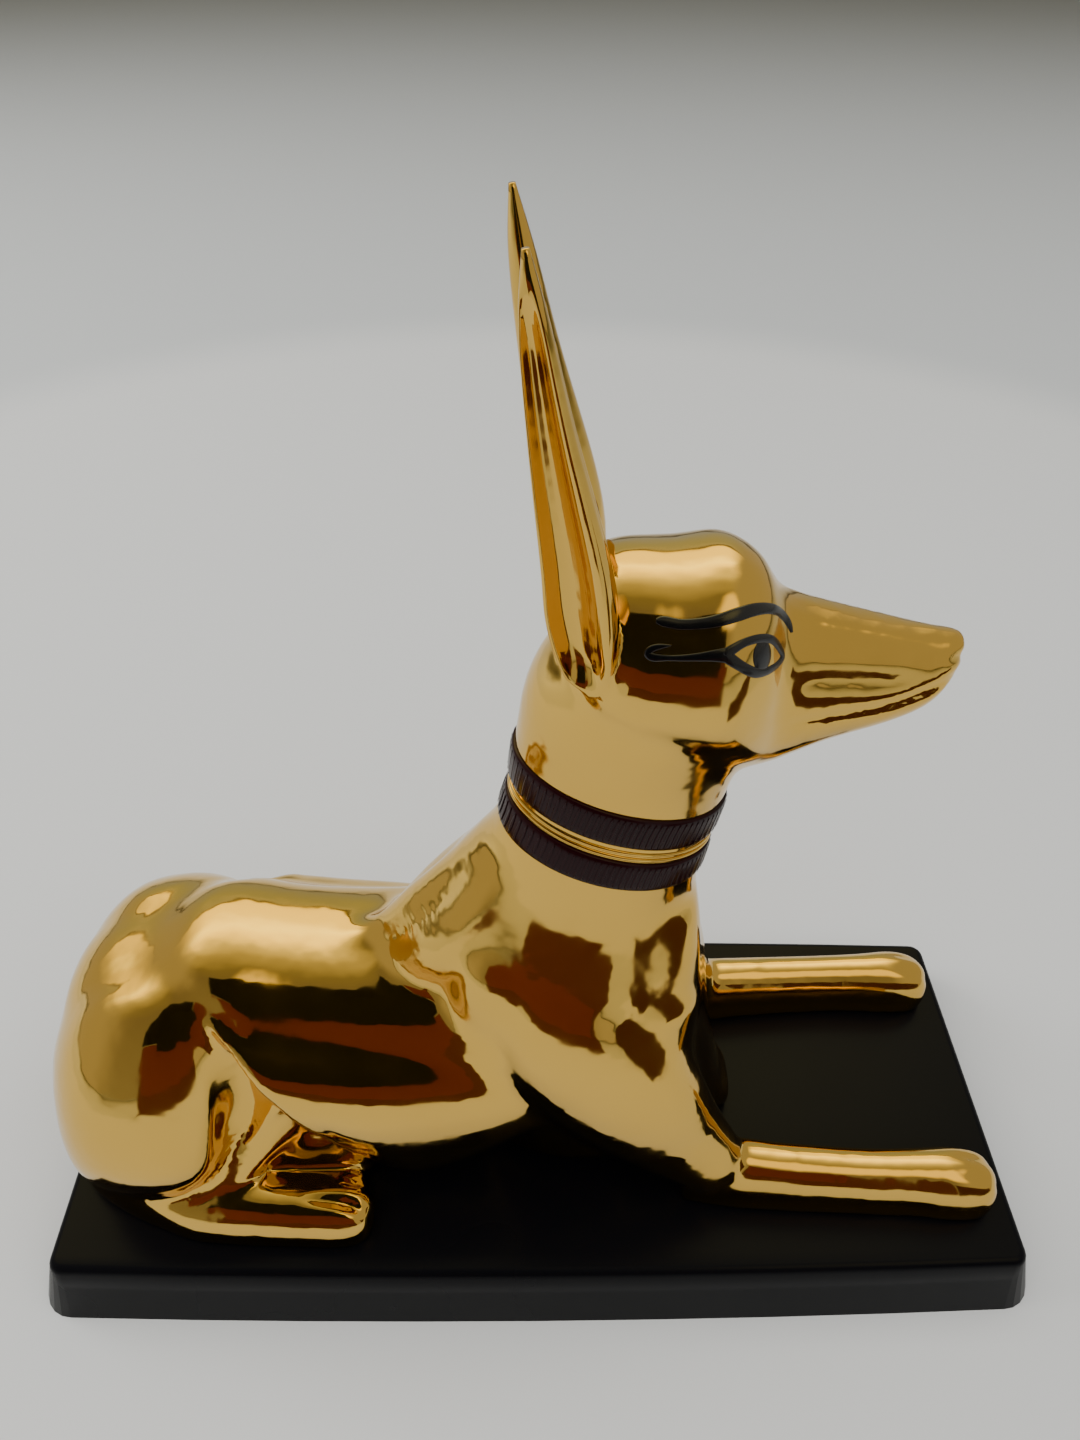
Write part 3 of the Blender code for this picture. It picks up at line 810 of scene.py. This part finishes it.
# Rows: forward, up the face, half width of the stroke
BROW = [
    (10.6, 87.0, 0.27), (11.4, 86.95, 0.57), (13.2, 86.65, 0.57), (15.4, 86.75, 0.61),
    (17.2, 87.1, 0.68), (19, 87.65, 0.74), (20.8, 88.15, 0.7), (22.6, 88.35, 0.62),
    (24.2, 88.1, 0.57), (25.3, 87.4, 0.51), (25.9, 86.6, 0.38), (26.2, 85.8, 0.14),
]
TAIL_LINE = [
    (12.2, 84.45, 0.09), (11.1, 84.35, 0.3), (10.2, 84.1, 0.39), (9.8, 83.6, 0.42),
    (10.4, 83.2, 0.45), (11.8, 83.15, 0.33), (13.2, 83.15, 0.36), (14.9, 83.25, 0.45),
    (16.6, 83.4, 0.63), (17.9, 83.45, 0.83),
]
LIDS = [
    (17.7, 83.45, 0.65), (18.6, 84.1, 0.55), (19.8, 84.75, 0.48), (21.2, 85.12, 0.48),
    (22.5, 85.2, 0.49), (23.5, 84.95, 0.47), (24.35, 84.25, 0.43), (25.0, 83.25, 0.33),
    (24.5, 82.5, 0.36), (23.6, 81.98, 0.42), (22.6, 81.62, 0.47), (21.5, 81.55, 0.56),
    (20.5, 81.85, 0.6), (19.5, 82.35, 0.6), (18.5, 82.95, 0.65), (17.7, 83.45, 0.65),
]
IRIS_MIDDLE = (22.1, 83.35)
IRIS_REACH = (1.2, 1.7)


def on_face(forward, up, side, proud):
    """Point on the side of the head, proud of the skin, at a place on the leaning face."""
    inward = Vector((0, -side * math.cos(FACE_LEAN), -math.sin(FACE_LEAN)))
    upward = Vector((0, -side * math.sin(FACE_LEAN), math.cos(FACE_LEAN)))
    start = Vector((forward, 0, 0)) + upward * up - inward * 80
    spot, normal, _, _ = body_surface.ray_cast(start, inward)
    return spot + normal * proud


def add_stroke(glaze, rows, side):
    """Domed stroke of glaze along a line on the face."""
    samples = spline(rows, 6)
    rings = []
    for index, (forward, up, half) in enumerate(samples):
        ahead = samples[min(index + 1, len(samples) - 1)]
        behind = samples[max(index - 1, 0)]
        run = Vector((ahead[0] - behind[0], ahead[1] - behind[1])).normalized()
        ring = []
        for corner in range(2 * GLAZE_ACROSS):
            turn = math.pi * corner / GLAZE_ACROSS
            slide = half * math.cos(turn)
            rise = math.sin(turn)
            proud = rise * GLAZE_PROUD if rise > 0 else rise * GLAZE_ROOT
            ring.append(on_face(forward - run.y * slide, up + run.x * slide, side, proud))
        rings.append(ring)
    join_rings(glaze, rings)


black_glaze, shader = new_material("black glaze")
tree = black_glaze.node_tree
place = add_node(tree, "ShaderNodeTexCoord").outputs["Object"]
brushed = add_node(tree, "ShaderNodeTexNoise", {"Vector": place}, Scale=1 / (0.8 * MM), Detail=2.0)
gloss = add_node(
    tree, "ShaderNodeMapRange", {"Value": brushed.outputs["Fac"]}, To_Min=0.16, To_Max=0.3
)
tree.links.new(gloss.outputs[0], shader.inputs["Roughness"])
shader.inputs["Base Color"].default_value = linear(GLAZE_BLACK)

for side, name in ((-1, "right"), (1, "left")):
    for part, rows in (("brow", BROW), ("eye_tail", TAIL_LINE), ("eyelids", LIDS)):
        glaze = bmesh.new()
        add_stroke(glaze, rows, side)
        bmesh.ops.recalc_face_normals(glaze, faces=glaze.faces)
        line = new_piece(f"{part}_{name}", glaze, black_glaze)
        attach(line, "root")
    drop = bmesh.new()
    rings = []
    for step in range(9):
        share = step / 8
        tilt = share * math.pi
        reach = math.sin(tilt) if 0 < share < 1 else 0.02
        proud = GLAZE_PROUD * math.cos(tilt) if share < 0.5 else GLAZE_ROOT * math.cos(tilt)
        ring = []
        for corner in range(32):
            turn = 2 * math.pi * corner / 32
            forward = IRIS_MIDDLE[0] + IRIS_REACH[0] * reach * math.cos(turn)
            up = IRIS_MIDDLE[1] + IRIS_REACH[1] * reach * math.sin(turn)
            ring.append(on_face(forward, up, side, proud))
        rings.append(ring)
    join_rings(drop, rings)
    bmesh.ops.recalc_face_normals(drop, faces=drop.faces)
    iris = new_piece(f"iris_{name}", drop, black_glaze)
    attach(iris, "root")

# Plinth
# A separate slab with sloping sides, its corners and top edge rounded over and the whole
# sprayed black satin.  The gilt figure is bonded to its top.
BLACK_SATIN = "#0A0A0D"

satin, shader = new_material("black satin lacquer")
tree = satin.node_tree
place = add_node(tree, "ShaderNodeTexCoord").outputs["Object"]
dust = add_node(tree, "ShaderNodeTexNoise", {"Vector": place}, Scale=1 / (30 * MM), Detail=4.0)
sheen = add_node(
    tree, "ShaderNodeMapRange", {"Value": dust.outputs["Fac"]}, To_Min=0.22, To_Max=0.34
)
tree.links.new(sheen.outputs[0], shader.inputs["Roughness"])
shader.inputs["Base Color"].default_value = linear(BLACK_SATIN)
shader.inputs["Specular IOR Level"].default_value = 0.06

slab = bmesh.new()
slab.from_mesh(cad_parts["plinth"].data)
bmesh.ops.remove_doubles(slab, verts=slab.verts, dist=1e-6)
bmesh.ops.scale(slab, vec=(1 / MM, 1 / MM, 1 / MM), verts=slab.verts)
plinth = new_piece("plinth_black", slab, satin)
plinth.data.set_sharp_from_angle(angle=math.radians(40))
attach(plinth, "root")
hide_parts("plinth")
